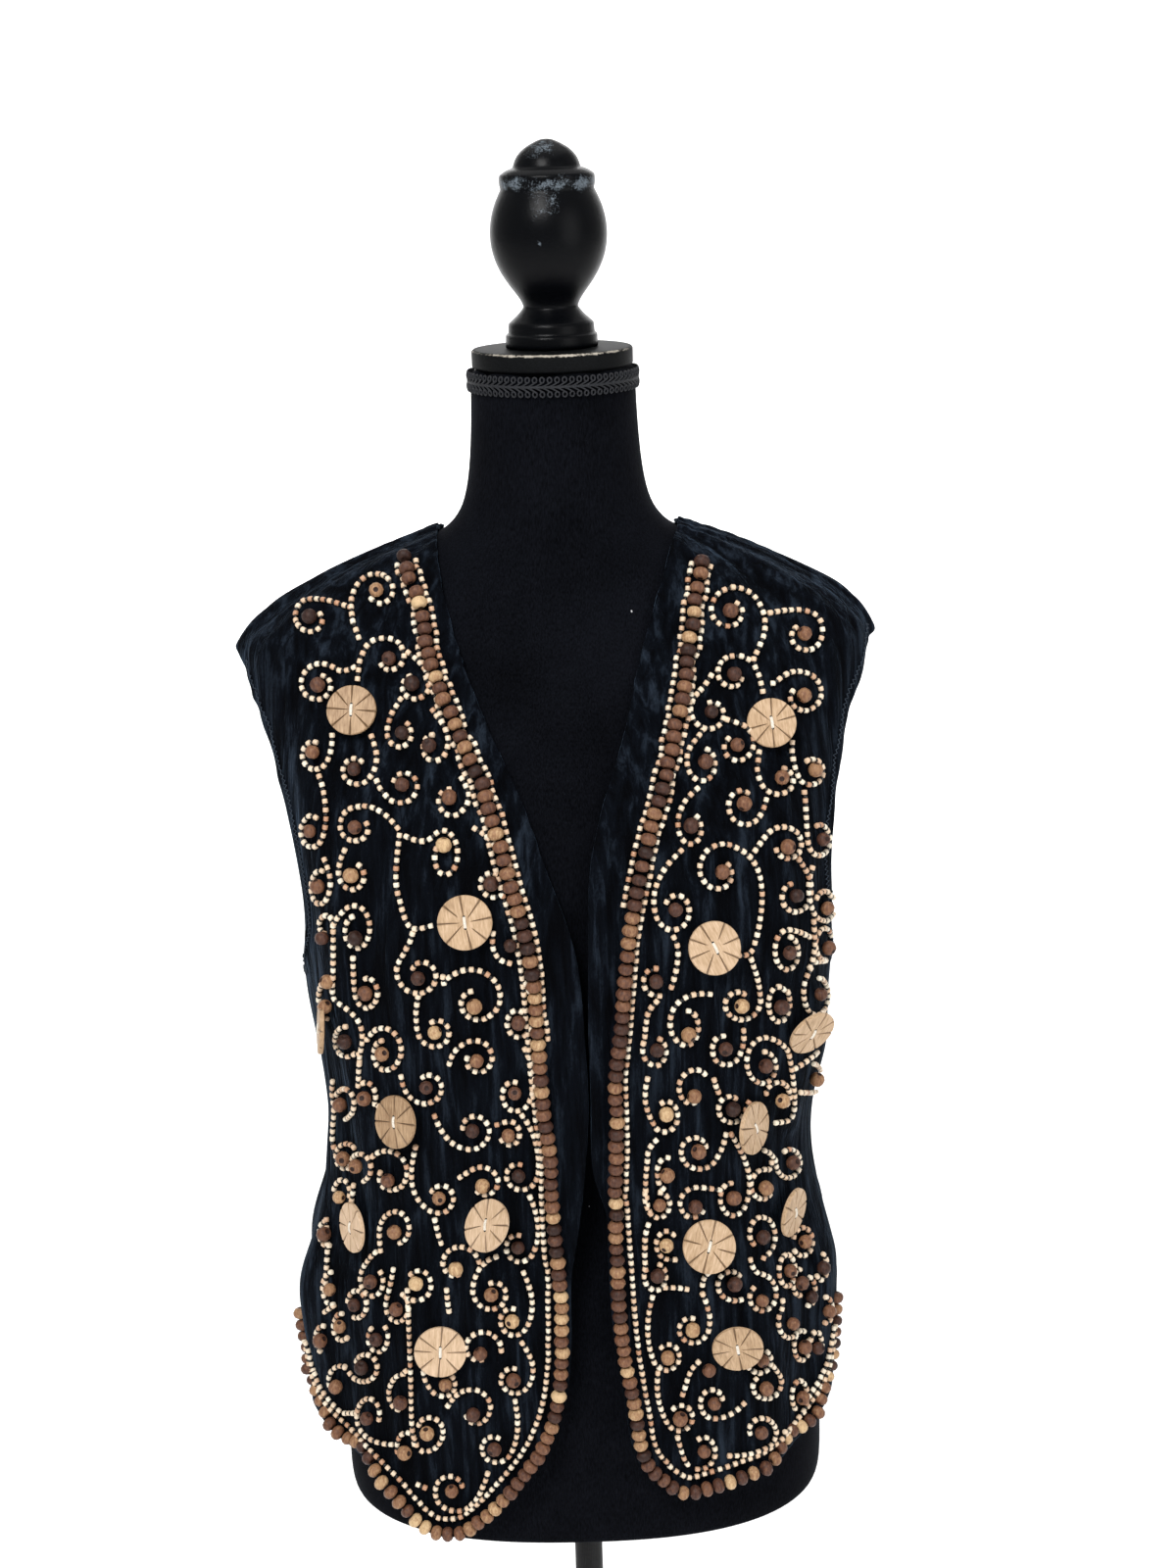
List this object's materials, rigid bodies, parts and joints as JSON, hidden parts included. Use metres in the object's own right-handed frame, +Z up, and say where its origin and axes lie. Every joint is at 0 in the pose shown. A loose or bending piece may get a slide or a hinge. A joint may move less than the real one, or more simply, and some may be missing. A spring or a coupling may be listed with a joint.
{
  "type": "beaded velvet vest on a dress form",
  "caption": "Sleeveless open-front velvet vest with scrolling beadwork and wooden discs, on a velvet-covered limbless dress form with a turned finial and a pole stand.",
  "frame": {"origin": "centre of the base's underside, on the floor", "axes": "+Z up along the pole; the front of the form and the vest's opening face -Y; the wearer's left is at +X"},
  "size_m": [0.4128, 0.34, 1.5286],
  "materials": {
    "crushed_velvet": "crushed pile",
    "form_velvet": "short matt pile",
    "black_gimp": "looped braid, satin thread",
    "bead_wood": "turned and waxed",
    "disc_wood": "sanded, unpolished",
    "painted_wood": "black paint, worn at the rim",
    "black_lacquer": "gloss black lacquer over turned wood",
    "black_enamel": "gloss black enamel",
    "black_iron": "satin black paint"
  },
  "bodies": {
    "root": {"stand_base": "black_iron", "stand_hub": "black_iron", "stand_pole": "black_enamel", "form_torso": "form_velvet", "neck_braid": "black_gimp", "neck_cap": "painted_wood", "finial": "black_lacquer", "front_right": "crushed_velvet", "front_left": "crushed_velvet", "back": "crushed_velvet", "edge_beads_right": "bead_wood", "edge_beads_left": "bead_wood", "disc_01": "disc_wood", "disc_02": "disc_wood", "disc_03": "disc_wood", "disc_04": "disc_wood", "disc_05": "disc_wood", "disc_06": "disc_wood", "disc_07": "disc_wood", "disc_08": "disc_wood", "disc_09": "disc_wood", "disc_10": "disc_wood", "disc_11": "disc_wood", "disc_12": "disc_wood", "disc_13": "disc_wood", "disc_14": "disc_wood"}
  },
  "joints": []
}
